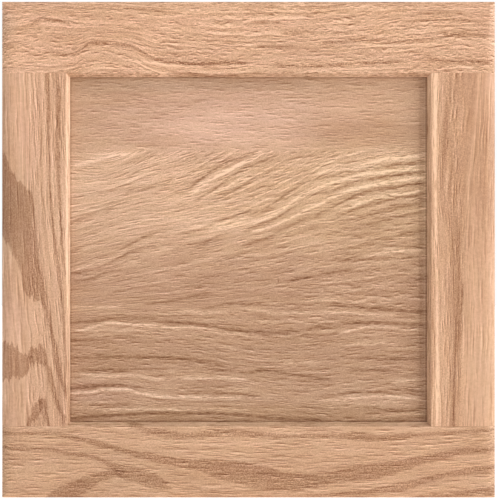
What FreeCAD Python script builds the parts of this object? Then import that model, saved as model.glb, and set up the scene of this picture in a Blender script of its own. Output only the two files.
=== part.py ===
"""Recessed-panel cabinet door, built as a joiner builds it.

Two rails run the full width of the door and two stiles stand between them. A bevelled edge and a groove run
along every inner side. The ends of the stiles are coped: cut to the reverse of the rail's bevel, with a stub
tongue that fills the rail's groove. A thin flat panel floats in the four grooves. The back of one stile is
bored for cup hinges.

The frame of the door: X to the right as seen from the front, Y from the front to the back, Z up. The origin is
at the middle of the bottom edge, halfway through the thickness. Every length is in millimetres.
"""

import FreeCAD, Part
import enum
import os

import Sketcher

# Driving dimensions: the alias of the cell, its value and what it measures
SIZES = [
    ("door_width", 416.5, "overall width"),
    ("door_height", 419.0, "overall height"),
    ("door_thickness", 19.0, "front face to back face"),
    ("rail_width", 63.5, "outer edge of a rail to the opening"),
    ("stile_width", 57.2, "outer edge of a stile to the opening"),
    ("bevel_width", 3.2, "slope round the opening, measured across the face"),
    ("bevel_depth", 6.0, "slope round the opening, measured into the wood"),
    ("lip_depth", 1.0, "square lip between that slope and the groove"),
    ("groove_depth", 9.5, "opening to the bottom of the groove"),
    ("tongue_gap", 0.4, "glue space between a tongue and the bottom of its groove"),
    ("panel_thickness", 6.0, "front to back of the panel"),
    ("panel_play", 0.2, "clearance on each face of the panel inside the grooves"),
    ("panel_float", 1.6, "space beyond each edge of the panel inside the grooves, for movement"),
    ("edge_width", 9.5, "rounded outer edge, measured across the face"),
    ("edge_drop", 2.8, "rounded outer edge, measured into the wood"),
    ("back_ease", 1.0, "chamfer on the outer edge of the back"),
    ("cup_radius", 17.5, "bore for a hinge cup"),
    ("cup_depth", 12.7, "depth of that bore from the back"),
    ("cup_wall", 5.0, "wood left between that bore and the outer edge of the stile"),
    ("cup_from_end", 100.0, "top or bottom of the door to the middle of the bore"),
    ("pilot_radius", 1.25, "pilot hole for a hinge screw"),
    ("pilot_depth", 10.0, "depth of that hole from the back"),
    ("pilot_spacing", 45.0, "middle to middle of the two pilot holes of a hinge"),
    ("pilot_offset", 9.5, "line of the cup to the line of its pilot holes"),
]

# Lengths that follow from the driving dimensions, as expressions that the document evaluates
HALF_WIDTH = "Sizes.door_width / 2"
HALF_THICKNESS = "Sizes.door_thickness / 2"
EDGE_RADIUS = "(Sizes.edge_width^2 + Sizes.edge_drop^2) / (2 * Sizes.edge_drop)"
GROOVE_FRONT = "(Sizes.bevel_depth + Sizes.lip_depth)"
GROOVE_BACK = f"({GROOVE_FRONT} + Sizes.panel_thickness + 2 * Sizes.panel_play)"
TONGUE_END = "(Sizes.rail_width - Sizes.groove_depth + Sizes.tongue_gap)"
RAIL_FACE = "(Sizes.rail_width - Sizes.bevel_width)"
PANEL_SIDE = "(Sizes.stile_width - Sizes.groove_depth + Sizes.panel_float)"
PANEL_BOTTOM = "(Sizes.rail_width - Sizes.groove_depth + Sizes.panel_float)"
PANEL_FRONT = f"({GROOVE_FRONT} + Sizes.panel_play)"
CUP_MIDDLE = "(Sizes.cup_wall + Sizes.cup_radius)"

PARTS_FOLDER = "parts"


class Point(enum.IntEnum):
    """How a sketch numbers the points of a line, an arc or a circle."""

    START = 1
    END = 2
    MIDDLE = 3


class Turn(enum.IntEnum):
    """Which side of the way round an outline the centre of an arc lies on."""

    LEFT = 1
    RIGHT = -1


# The number that a sketch gives to its own origin
AXES = -1


def fill_sheet(doc):
    """The spreadsheet that every sketch, feature and placement reads."""
    sheet = doc.addObject("Spreadsheet::Sheet", "Sizes")
    for row, (alias, value, meaning) in enumerate(SIZES, start=1):
        sheet.set(f"A{row}", alias)
        sheet.set(f"B{row}", str(value))
        sheet.set(f"C{row}", meaning)
        sheet.setAlias(f"B{row}", alias)
    doc.recompute()
    return sheet


def new_body(doc, name):
    body = doc.addObject("PartDesign::Body", name)
    body.Label = name
    return body


def new_sketch(body, name, plane_role, offset=None):
    """A sketch on one of the body's own origin planes, moved along the plane's normal by an expression."""
    plane = next(f for f in body.Origin.OriginFeatures if f.Role == plane_role)
    sketch = body.newObject("Sketcher::SketchObject", f"{body.Name}_{name}")
    sketch.AttachmentSupport = (plane, [""])
    sketch.MapMode = "FlatFace"
    if offset:
        sketch.setExpression(".AttachmentOffset.Base.z", offset)
    return sketch


def bind(sketch, constraint, expression):
    index = sketch.addConstraint(constraint)
    sketch.setExpression(f"Constraints[{index}]", expression)


def draw_outline(sketch, corners, arcs=None):
    """A closed outline. Each corner is a pair of expressions, and each side is a straight line, apart from
    those in arcs: side number to (radius expression, Turn)."""
    arcs = arcs or {}
    points = [FreeCAD.Vector(*(float(sketch.evalExpression(e)) for e in c), 0) for c in corners]
    first = sketch.GeometryCount
    for side, (start, end) in enumerate(zip(points, points[1:] + points[:1])):
        if side in arcs:
            radius, turn = arcs[side]
            sketch.addGeometry(arc_between(start, end, float(sketch.evalExpression(radius)), turn))
        else:
            sketch.addGeometry(Part.LineSegment(start, end))
    for side, (across, up) in enumerate(corners):
        this, ahead = first + side, first + (side + 1) % len(corners)
        own_start, own_end = ends_of(side, arcs)
        next_start, _ = ends_of((side + 1) % len(corners), arcs)
        sketch.addConstraint(Sketcher.Constraint("Coincident", this, own_end, ahead, next_start))
        for kind, expression in (("DistanceX", across), ("DistanceY", up)):
            value = float(sketch.evalExpression(expression))
            bind(sketch, Sketcher.Constraint(kind, AXES, Point.START, this, own_start, value), expression)
        if side in arcs:
            radius = float(sketch.evalExpression(arcs[side][0]))
            bind(sketch, Sketcher.Constraint("Radius", this, radius), arcs[side][0])


def ends_of(side, arcs):
    """The first and last point of a side. A sketch keeps every arc counter-clockwise, so a side that turns
    right starts at its arc's end."""
    if side in arcs and arcs[side][1] == Turn.RIGHT:
        return Point.END, Point.START
    return Point.START, Point.END


def arc_between(start, end, radius, turn):
    """The short arc from start to end whose centre lies on the side that turn gives."""
    chord = end - start
    middle = (start + end) / 2
    left = FreeCAD.Vector(-chord.y, chord.x, 0).normalize()
    centre = middle + left * turn * (radius**2 - (chord.Length / 2) ** 2) ** 0.5
    onward = middle + (middle - centre).normalize() * (radius - (middle - centre).Length)
    return Part.Arc(start, onward, end)


def draw_circle(sketch, across, up, radius):
    centre = FreeCAD.Vector(float(sketch.evalExpression(across)), float(sketch.evalExpression(up)), 0)
    size = float(sketch.evalExpression(radius))
    index = sketch.addGeometry(Part.Circle(centre, FreeCAD.Vector(0, 0, 1), size))
    for kind, value, expression in (("DistanceX", centre.x, across), ("DistanceY", centre.y, up)):
        bind(sketch, Sketcher.Constraint(kind, AXES, Point.START, index, Point.MIDDLE, value), expression)
    bind(sketch, Sketcher.Constraint("Radius", index, size), radius)


def pad(body, sketch, length):
    feature = body.newObject("PartDesign::Pad", f"{sketch.Name}_pad")
    feature.Profile = sketch
    feature.setExpression("Length", length)
    return feature


def cut_through(body, sketch):
    """Cuts the sketch away on both sides of its plane, all the way."""
    feature = body.newObject("PartDesign::Pocket", f"{sketch.Name}_cut")
    feature.Profile = sketch
    feature.Type = "ThroughAll"
    feature.Midplane = True
    return feature


def bore(body, sketch, depth):
    """Cuts the sketch, which lies on the back face, into the wood towards the front."""
    feature = body.newObject("PartDesign::Pocket", f"{sketch.Name}_bore")
    feature.Profile = sketch
    feature.Reversed = True
    feature.setExpression("Length", depth)
    return feature


def section_corners(member_width):
    """The cross-section of a rail or stile as (across the face, into the wood), from the outer edge at 0 to
    the opening at member_width. Side 0 is the rounded outer edge."""
    return [
        ("0", "Sizes.edge_drop"),
        ("Sizes.edge_width", "0"),
        (f"{member_width} - Sizes.bevel_width", "0"),
        (member_width, "Sizes.bevel_depth"),
        (member_width, GROOVE_FRONT),
        (f"{member_width} - Sizes.groove_depth", GROOVE_FRONT),
        (f"{member_width} - Sizes.groove_depth", GROOVE_BACK),
        (member_width, GROOVE_BACK),
        (member_width, "Sizes.door_thickness"),
        ("Sizes.back_ease", "Sizes.door_thickness"),
        ("0", "Sizes.door_thickness - Sizes.back_ease"),
    ]


def flipped(corners):
    """The same outline with its two directions exchanged."""
    return [(up, across) for across, up in corners]


def rail(doc, name):
    """A rail in its own frame: X along it from 0, Y into the wood, Z from its outer edge to the opening."""
    body = new_body(doc, name)
    section = new_sketch(body, "section", "YZ_Plane")
    draw_outline(section, flipped(section_corners("Sizes.rail_width")), {0: (EDGE_RADIUS, Turn.RIGHT)})
    pad(body, section, "Sizes.door_width")

    # The outer edge of the door carries on round both ends of the rail, over the end grain
    ends = new_sketch(body, "ends", "XY_Plane")
    for edge, inward, turn in (("0", "+", Turn.LEFT), ("Sizes.door_width", "-", Turn.RIGHT)):
        draw_outline(
            ends,
            [
                (edge, "Sizes.edge_drop"),
                (f"{edge} {inward} Sizes.edge_width", "0"),
                (edge, "0"),
            ],
            {0: (EDGE_RADIUS, turn)},
        )
        draw_outline(
            ends,
            [
                (edge, "Sizes.door_thickness - Sizes.back_ease"),
                (f"{edge} {inward} Sizes.back_ease", "Sizes.door_thickness"),
                (edge, "Sizes.door_thickness"),
            ],
        )
    cut_through(body, ends)
    return body


def stile(doc, name):
    """A stile in its own frame: X from its outer edge to the opening, Y into the wood, Z up from the bottom
    edge of the door."""
    body = new_body(doc, name)
    section = new_sketch(body, "section", "XY_Plane", offset=TONGUE_END)
    draw_outline(section, section_corners("Sizes.stile_width"), {0: (EDGE_RADIUS, Turn.LEFT)})
    pad(body, section, f"Sizes.door_height - 2 * {TONGUE_END}")

    # Each end loses the wood in front of its tongue, to the reverse of the rail's bevel, and behind it
    cope = new_sketch(body, "cope", "YZ_Plane")
    for end, inward in (("0", "+"), ("Sizes.door_height", "-")):
        tip = f"{end} {inward} {TONGUE_END}"
        shoulder = f"{end} {inward} Sizes.rail_width"
        draw_outline(
            cope,
            [
                ("0", tip),
                ("0", f"{end} {inward} {RAIL_FACE}"),
                ("Sizes.bevel_depth", shoulder),
                (GROOVE_FRONT, shoulder),
                (GROOVE_FRONT, tip),
            ],
        )
        draw_outline(
            cope,
            [
                (GROOVE_BACK, tip),
                (GROOVE_BACK, shoulder),
                ("Sizes.door_thickness", shoulder),
                ("Sizes.door_thickness", tip),
            ],
        )
    cut_through(body, cope)
    return body


def bore_for_hinges(body):
    """Two cup bores and their pilot holes in the back of a stile."""
    cups = new_sketch(body, "cups", "XZ_Plane", offset="-Sizes.door_thickness")
    pilots = new_sketch(body, "pilots", "XZ_Plane", offset="-Sizes.door_thickness")
    for height in ("Sizes.cup_from_end", "Sizes.door_height - Sizes.cup_from_end"):
        draw_circle(cups, CUP_MIDDLE, height, "Sizes.cup_radius")
        for side in ("+", "-"):
            pilot_height = f"{height} {side} Sizes.pilot_spacing / 2"
            draw_circle(pilots, f"{CUP_MIDDLE} + Sizes.pilot_offset", pilot_height, "Sizes.pilot_radius")
    bore(body, cups, "Sizes.cup_depth")
    bore(body, pilots, "Sizes.pilot_depth")


def panel(doc, name):
    """The flat panel, as large as the grooves less its float."""
    board = doc.addObject("Part::Box", name)
    board.Label = name
    board.setExpression("Length", f"Sizes.door_width - 2 * {PANEL_SIDE}")
    board.setExpression("Width", "Sizes.panel_thickness")
    board.setExpression("Height", f"Sizes.door_height - 2 * {PANEL_BOTTOM}")
    board.setExpression("Placement.Base.x", f"{PANEL_SIDE} - {HALF_WIDTH}")
    board.setExpression("Placement.Base.y", f"{PANEL_FRONT} - {HALF_THICKNESS}")
    board.setExpression("Placement.Base.z", PANEL_BOTTOM)
    return board


def place(body, turned):
    """Puts a member into the door. A turned one has made half a turn about Y, so that one shape serves as
    both rails and both stiles."""
    if turned:
        body.Placement = FreeCAD.Placement(FreeCAD.Vector(), FreeCAD.Rotation(FreeCAD.Vector(0, 1, 0), 180))
    body.setExpression("Placement.Base.x", HALF_WIDTH if turned else f"-{HALF_WIDTH}")
    body.setExpression("Placement.Base.y", f"-{HALF_THICKNESS}")
    body.setExpression("Placement.Base.z", "Sizes.door_height" if turned else "0")
    return body


def build():
    doc = FreeCAD.newDocument("cabinet_door")
    fill_sheet(doc)
    left_stile = stile(doc, "left_stile")
    bore_for_hinges(left_stile)
    pieces = [
        place(rail(doc, "bottom_rail"), turned=False),
        place(rail(doc, "top_rail"), turned=True),
        place(left_stile, turned=False),
        place(stile(doc, "right_stile"), turned=True),
        panel(doc, "centre_panel"),
    ]
    doc.recompute()
    return doc, pieces


def check(doc, pieces):
    for item in doc.Objects:
        if {"Invalid", "Error"} & set(item.State):
            raise RuntimeError(f"{item.Name} could not be computed: {item.State}")
        if item.TypeId == "Sketcher::SketchObject" and not item.FullyConstrained:
            raise RuntimeError(f"{item.Name} has free lines")
    for piece in pieces:
        if piece.Shape.isNull() or not piece.Shape.isValid() or len(piece.Shape.Solids) != 1:
            raise RuntimeError(f"{piece.Label} is not one valid solid")


def write(pieces):
    os.makedirs(PARTS_FOLDER, exist_ok=True)
    for piece in pieces:
        piece.Shape.exportStep(os.path.join(PARTS_FOLDER, f"{piece.Label}.step"))
        print(f"{piece.Label}: {piece.Shape.Volume / 1000:.2f} cubic centimetres")


document, door_pieces = build()
check(document, door_pieces)
write(door_pieces)
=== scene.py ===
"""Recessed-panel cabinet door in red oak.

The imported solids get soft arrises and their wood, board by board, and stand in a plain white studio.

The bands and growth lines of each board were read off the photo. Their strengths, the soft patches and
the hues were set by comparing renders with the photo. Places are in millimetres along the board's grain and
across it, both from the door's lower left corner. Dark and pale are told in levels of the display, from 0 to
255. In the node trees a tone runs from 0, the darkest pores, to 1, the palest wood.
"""

import math

import bpy
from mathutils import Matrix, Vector


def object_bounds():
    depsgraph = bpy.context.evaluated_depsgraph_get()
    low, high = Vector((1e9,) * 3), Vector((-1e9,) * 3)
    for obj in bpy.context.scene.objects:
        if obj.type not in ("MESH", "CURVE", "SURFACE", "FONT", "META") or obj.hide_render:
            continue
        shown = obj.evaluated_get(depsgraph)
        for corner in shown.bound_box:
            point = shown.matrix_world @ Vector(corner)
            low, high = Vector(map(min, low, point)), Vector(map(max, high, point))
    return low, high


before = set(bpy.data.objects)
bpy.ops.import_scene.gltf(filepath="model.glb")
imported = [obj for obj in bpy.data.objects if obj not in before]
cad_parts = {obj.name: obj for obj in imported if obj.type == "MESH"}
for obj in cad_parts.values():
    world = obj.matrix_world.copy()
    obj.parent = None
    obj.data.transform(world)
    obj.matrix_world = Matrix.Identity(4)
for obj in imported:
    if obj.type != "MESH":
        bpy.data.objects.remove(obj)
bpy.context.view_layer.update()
DOOR_LOW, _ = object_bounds()

bl_info = {
    "name": "Oak cabinet door",
    "version": (1, 0, 0),
    "blender": (4, 5, 0),
    "location": "3D View > Sidebar > Door",
    "description": "Dresses a recessed-panel cabinet door in oak, board by board, and sets its studio",
    "category": "Object",
}

MM = 0.001

# How dark a fine growth line is, in levels. A minus sign makes it pale
FAINT, CLEAR, STRONG = 24, 34, 42
# The same for a broad, soft growth band
SOFT = 8

# What the tables of every board hold:
# BANDS: dark growth bands, as points of (along, low edge, high edge)
# FLOW: lines that the growth follows, from low to high, as points of (along, across)
# LINES: fine growth lines, as a strength and points of (along, across)
# PATCHES: soft ovals of another tone, as (along, across, half length, half height, levels)
# HUES: how much pinker and how much greyer the board is as a whole, and in soft ovals
# GRAIN: fine, middle and broad streaks and rings in levels, either one number or points of (across, number);
# then how far apart the rings are in mm, how much the pores turn with the rings, how long they are, how much
# they ripple, and how speckled the dark bands are


# Top rail

TOP_BANDS = {
    "main hump": [(20, 373, 372.5), (32, 373, 374.5), (44.5, 373.5, 375.5), (57, 374, 375.5),
        (63, 376, 378.5), (69, 381, 383), (75, 383.5, 385.5), (82, 384, 386.5), (93, 383, 385),
        (103.5, 381, 383), (110.5, 379.5, 382.5), (116.5, 375.5, 380), (123, 370, 374.5), (130, 367.5, 371.5),
        (145, 366, 368.5), (166.5, 365, 367.5), (188.5, 365, 367), (208.5, 366, 367), (219.5, 367.5, 366.5)],
}
TOP_FLOW = [
    [(-0.5, 343), (40.5, 343), (93, 356.5), (125, 349.5), (167, 343), (251.5, 344.5), (416.5, 351)],
    [(-0.5, 372.5), (42, 374), (56.5, 375), (61.5, 376), (66.5, 380), (73.5, 384.5), (84.5, 385), (109, 381),
        (116.5, 377.5), (123, 372), (131.5, 368.5), (146, 366.5), (172, 366), (209.5, 368), (251.5, 371.5),
        (288, 372.5), (336.5, 373), (383, 379), (416.5, 378.5)],
    [(-0.5, 398.5), (14, 400), (27, 402.5), (32, 405), (68, 400), (91, 399.5), (125, 397.5), (158.5, 392.5),
        (209.5, 388.5), (251.5, 390), (302.5, 395), (336.5, 402), (370, 403.5), (416.5, 403)],
    [(-0.5, 417), (82.5, 415.5), (167, 412), (251.5, 412), (336.5, 419), (416.5, 417)],
]
TOP_LINES = [
    (CLEAR, [(44, 374), (56, 373.5), (64, 375.5), (75, 384), (83, 384.5), (96, 383), (112, 382)]),
    (FAINT, [(110, 381), (131, 369.5)]),
    (CLEAR, [(130, 370), (152, 366.5), (170, 366), (190, 368), (209, 367)]),
    (FAINT, [(12, 396), (24, 399), (30, 402.5), (36, 404.5), (48, 402.5), (62, 401)]),
    (FAINT, [(50, 414.5), (85, 414.5), (112, 413), (130, 411), (150, 409.5)]),
    (FAINT, [(98, 398), (112, 396.5), (131, 397)]),
    (FAINT, [(209, 401), (225, 401), (240, 399.5)]),
    (FAINT, [(235, 391.5), (255, 393), (275, 392), (300, 393)]),
    (CLEAR, [(268, 384.5), (280, 384.5), (292, 386.5), (318, 387)]),
    (CLEAR, [(322, 384), (340, 386), (352, 386), (380, 391)]),
    (FAINT, [(213, 381), (232, 380.5), (250, 381.5)]),
    (CLEAR, [(300, 367), (330, 367.5), (339, 369)]),
    (CLEAR, [(358, 369.5), (400, 368), (413, 368)]),
    (FAINT, [(350, 403), (372, 403.5), (413, 400)]),
    (CLEAR, [(336, 397), (346, 398.5), (354, 397)]),
    (FAINT, [(345, 408.5), (378, 410)]),
    (CLEAR, [(228, 366), (243, 364), (280, 365.5), (300, 367)]),
    (FAINT, [(372, 391), (395, 391.5), (414, 391)]),
    (-CLEAR, [(120, 369), (131, 366.5), (150, 364.5), (172, 363)]),
    (-FAINT, [(300, 383), (325, 382), (350, 382), (375, 383)]),
]
TOP_PATCHES = [(0, 385, 14, 34, -9), (300, 406, 40, 8, 8), (400, 372, 110, 25, -5)]
TOP_HUES = {
    "pinker": (0, [(220, 413, 200, 8, -1)]),
    "greyer": (-2, [(0, 400, 15, 14, 5), (265, 365, 75, 34, 1.5)]),
}
TOP_GRAIN = {
    "Fine": 42, "Middle": 33, "Broad": 24, "Rings": 29,
    "Ring_Width": 4.4, "Follow": 0.6, "Stretch": 0.75, "Ripple": 0.9, "Speckle": 1.0,
}

# Bottom rail

BOTTOM_BANDS = {
    "upper": [(82.5, 64.5, 62), (98, 63, 64), (108, 59.5, 63), (120.5, 55.5, 59.5), (133.5, 52, 58),
        (154.5, 50, 55.5), (171.5, 50.5, 56), (188.5, 52, 57.5), (251.5, 51, 53.5), (290, 50.5, 55),
        (302.5, 48.5, 56), (319.5, 48.5, 53.5), (353, 52, 55.5), (416.5, 56, 58)],
    "sweep": [(1.5, 53.5, 56), (32, 53.5, 56), (49, 51.5, 54.5), (74, 45.5, 50.5), (99.5, 38, 42.5),
        (125, 31.5, 37.5), (150, 26, 33.5), (167, 22.5, 32.5), (180, 16.5, 32.5), (201, 11.5, 31),
        (222, 7, 26), (247.5, 5.5, 20.5), (260, 8, 20.5), (277, 11.5, 21.5), (298, 14, 27.5), (315, 16.5, 29),
        (361.5, 30, 37), (387, 36.5, 42), (416.5, 38.5, 42.5)],
    "arch right": [(1.5, 41, 43.5), (32, 40, 42.5), (49, 37.5, 41), (87, 28.5, 32.5), (99.5, 18, 28.5),
        (112, 13, 26), (125, 8, 22.5), (135, 6.5, 16.5), (143.5, 7, 8), (154.5, 6.5, 0.5)],
    "arch left": [(32, 0.5, -5.5), (40.5, -2, 3), (61.5, -0.5, 15), (72.5, 5.5, 19), (82.5, 13, 22),
        (93, 17.5, 24), (101, 20, 23), (109.5, 21.5, 19)],
    "lower": [(239, 1.5, -2), (260, -0.5, 1.5), (285.5, 0.5, 4), (315, 3, 8), (336.5, 5.5, 12.5),
        (361.5, 12.5, 18), (378.5, 17.5, 23), (399.5, 20.5, 26.5), (416.5, 22.5, 27.5)],
    "lowest": [(340.5, -0.5, -4), (353, -2, 0.5), (378.5, -1.5, 4.5), (416.5, 3, 9.5)],
}
BOTTOM_FLOW = [
    [(1.5, -2), (49, -4), (167, -8), (251.5, -7), (336.5, -4), (416.5, 1.5)],
    [(1.5, 23), (49, 22.5), (99.5, 20), (150, 15), (209.5, 11.5), (268.5, 12.5), (416.5, 26)],
    [(1.5, 42.5), (49, 40), (99.5, 35), (150, 29), (209.5, 26), (268.5, 26.5), (336.5, 32.5), (416.5, 38.5)],
    [(1.5, 62), (82.5, 62), (150, 59.5), (218, 58.5), (285.5, 58.5), (416.5, 62)],
]
BOTTOM_PATCHES = [(0, 35, 30, 30, -12), (330, 56, 65, 6, 11), (180, 37, 40, 10, 7)]
BOTTOM_HUES = {
    "pinker": (-1.5, []),
    "greyer": (2, [(400, 38, 125, 34, -2), (105, 10, 40, 34, 2)]),
}
BOTTOM_GRAIN = {
    "Fine": 32, "Middle": 28, "Broad": 18, "Rings": 7,
    "Ring_Width": 6, "Follow": 0.25, "Stretch": 1.3, "Ripple": 0.3, "Speckle": 1.4,
}

# Left stile

LEFT_BANDS = {
    "first line": [(53.5, 59, 60.5), (126.5, 53, 55), (174.5, 49, 51.5), (217, 43.5, 46), (255, 40, 42),
        (295.5, 39, 41), (326.5, 38.5, 41), (364.5, 35.5, 40.5)],
    "second line": [(53.5, 60.5, 62.5), (141.5, 55.5, 57), (174.5, 54, 55.5), (209, 51, 52.5),
        (295.5, 46, 49), (332, 46, 49), (364.5, 46, 47.5)],
    "big arch": [(53.5, 57, 59), (80, 54.5, 56.5), (94.5, 50.5, 54), (111, 45, 50), (138, 40.5, 44),
        (147.5, 38, 42.5), (167, 30, 38.5), (169.5, 23.5, 38), (173.5, 18, 37), (188, 16, 34.5),
        (199, 13, 32.5), (207.5, 8.5, 31.5), (214.5, 5.5, 31), (221, 1.5, 30), (231, -6, 28.5),
        (250.5, -6, 26), (261.5, -6, 21.5), (272.5, -6, 10.5), (281, -6, 6.5), (293, -6, 2.5),
        (302, -6, -3.5)],
    "middle arch": [(53.5, 55.5, 58), (66.5, 51, 54), (75.5, 46.5, 50.5), (88.5, 41.5, 46), (108, 37, 41),
        (111, 35.5, 40), (114.5, 32.5, 39), (116, 27, 38.5), (119.5, 21.5, 37.5), (125.5, 25, 35.5),
        (129, 29.5, 34), (130.5, 32.5, 30)],
    "middle patch": [(98.5, -6, -4.5), (102, -6, 18.5), (106, -6, 22.5), (111, -6, 24.5), (115.5, -6, 28.5),
        (119.5, -6, 23.5), (123, -6, 16), (126.5, -6, 12.5), (130.5, -6, 6.5), (133, -6, 1.5),
        (138, -6, -4.5)],
    "low arch right": [(53.5, 39.5, 44.5), (69, 34, 39), (77.5, 32, 38), (82.5, 32, 37), (86.5, 34.5, 32.5)],
    "low arch left": [(53.5, 16.5, 21.5), (60.5, 20.5, 25), (69, 24.5, 31), (77.5, 27, 33.5),
        (82.5, 30, 33.5), (86.5, 33.5, 32)],
}
LEFT_FLOW = [
    [(53.5, -7), (364.5, -5.5)],
    [(53.5, 37), (84, 34.5), (129, 30), (173.5, 24.5), (209, 21.5), (260, 19), (364.5, 15)],
    [(53.5, 59), (174.5, 50.5), (217, 44.5), (255, 41), (295.5, 40), (326.5, 40), (364.5, 38)],
    [(53.5, 62.5), (126.5, 57), (246.5, 51), (295.5, 47.5), (364.5, 46.5)],
]
LEFT_PATCHES = [
    (90, 52, 65, 7, -10), (60, 30, 14, 7, -18), (152, 25, 22, 10, 9), (310, 21, 65, 10, 6),
    (250, 5, 100, 10, -13), (208, 3, 22, 10, 12),
]
# Paler wood beside the bevel and along the outer edge
LEFT_EDGES = [(209, 52, 170, 2, 5), (209, 1.5, 200, 2.5, 4)]
LEFT_HUES = {
    "pinker": (0, [(310, 23, 42, 12, 1.5), (150, 8, 24, 20, 2)]),
    "greyer": (0.5, [(354, 31, 75, 34, -2), (236, 4, 42, 34, 4)]),
}
LEFT_GRAIN = {
    "Fine": [(0, 12), (20, 12), (26, 35), (60, 35)], "Middle": 22,
    "Broad": [(0, 19), (20, 19), (27, 14), (60, 14)], "Rings": 13,
    "Ring_Width": 5, "Follow": 0.8, "Stretch": 2.2, "Ripple": 0.2, "Speckle": 0.7,
}
# Small soft blotches near the outer edge, in levels
LEFT_BLOTCHES = [(0, 11), (20, 11), (27, 0), (60, 0)]

# Right stile

RIGHT_BANDS = {
    "broad": [(53.5, 378.5, 385.5), (99.5, 379.5, 386), (141.5, 379.5, 386.5), (175.5, 380, 388.5),
        (209, 378.5, 388), (226, 376, 388.5), (251.5, 368.5, 390.5), (272.5, 367.5, 393), (293.5, 370, 395.5),
        (327.5, 372, 399), (364.5, 372.5, 401.5)],
    "dark streak": [(280, 371, 370), (295.5, 372, 375.5), (310.5, 372, 376.5), (326, 372.5, 376),
        (336, 375, 374.5)],
}
RIGHT_FLOW = [
    [(53.5, 365), (167, 365), (226, 364), (277, 361.5), (364.5, 362.5)],
    [(53.5, 378.5), (141.5, 379.5), (201, 378.5), (226, 377), (260, 372.5), (293.5, 372.5), (364.5, 375)],
    [(53.5, 385.5), (141.5, 387.5), (209, 388), (251.5, 390.5), (293.5, 395.5), (327.5, 399), (364.5, 400.5)],
    [(53.5, 419), (167, 421), (251.5, 419), (364.5, 421)],
]
RIGHT_LINES = [
    (FAINT, [(54, 381), (100, 382), (140, 384), (209, 385.5), (240, 383)]),
    (FAINT, [(80, 386), (150, 387.5), (180, 389)]),
    (-CLEAR, [(54, 367), (120, 367.5), (200, 367), (260, 366)]),
    (-CLEAR, [(265, 366), (300, 365.5), (364, 366)]),
]
RIGHT_PATCHES = [
    (275, 412, 65, 16, -16), (90, 402, 110, 16, 8), (216, 389, 22, 10, -7), (180, 380, 110, 6, -9),
    (82, 367, 40, 6, 10), (346, 364, 110, 6, 13),
]
RIGHT_HUES = {
    "pinker": (-1, [(342, 398, 42, 34, 1)]),
    "greyer": (-1.5, [(354, 414, 200, 34, -2), (110, 410, 42, 20, 1.5)]),
}
RIGHT_GRAIN = {
    "Fine": [(355, 34.5), (387, 34.5), (393, 13), (417, 13)], "Middle": 20, "Broad": 16, "Rings": 9,
    "Ring_Width": 6, "Follow": 0.8, "Stretch": 2.2, "Ripple": 0.2, "Speckle": 0.7,
}
RIGHT_BLOTCHES = [(355, 0), (386, 0), (393, 11), (417, 11)]

# Panel

LOWER_LEAF_FLOW = [
    [(57, 69.5), (125, 72.5), (191, 74.5), (235, 72.5), (266, 69), (288, 64), (359, 67)],
    [(57, 88.5), (78.5, 89), (83.5, 91), (103.5, 91), (129, 86), (183, 83.5), (207, 83.5), (251.5, 80.5),
        (322, 84.5), (359, 82.5)],
    [(57, 102), (78.5, 102.5), (113, 102.5), (129, 98.5), (168, 101), (202.5, 99.5), (235, 95), (285.5, 96),
        (339.5, 99.5), (359, 99.5)],
    [(57, 123), (99.5, 124.5), (150, 123), (235, 111), (277, 114.5), (319.5, 120.5), (359, 121.5)],
    [(57, 143.5), (113, 147.5), (141, 143.5), (153, 144), (208.5, 134), (235, 131.5), (268.5, 135),
        (311, 142.5), (359, 144)],
    [(57, 153.5), (88.5, 157.5), (103.5, 158.5), (133.5, 159.5), (163, 158.5), (207, 159), (254, 157),
        (302.5, 157.5), (342, 157), (359, 156)],
    [(57, 164.5), (88.5, 168), (125, 171), (167, 173.5), (207, 178), (226.5, 182), (251.5, 188), (273, 194),
        (292.5, 198), (328.5, 207.5), (359, 210)],
    [(57, 179), (91, 187), (125, 196.5), (167, 206), (207, 219.5), (231.5, 224.5), (254, 233.5), (296.5, 243),
        (316, 248), (359, 256.5)],
    [(57, 199), (91, 211), (123, 219.5), (167, 224.5), (207, 232), (243.5, 250), (281.5, 275), (311, 283.5),
        (359, 292)],
    [(57, 241.5), (82.5, 247.5), (108, 255), (140, 262.5), (171.5, 277), (202.5, 295.5), (251.5, 327.5),
        (359, 344.5)],
    [(57, 266.5), (91, 270), (125, 285.5), (158.5, 302), (192.5, 327.5), (251.5, 370), (359, 386.5)],
]
UPPER_LEAF_FLOW = [
    [(57, 292), (125, 293), (294, 294.5), (359, 294.5)],
    [(57, 327.5), (125, 329), (209.5, 328.5), (294, 326.5), (359, 327.5)],
    [(57, 358), (359, 358)],
]
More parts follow.
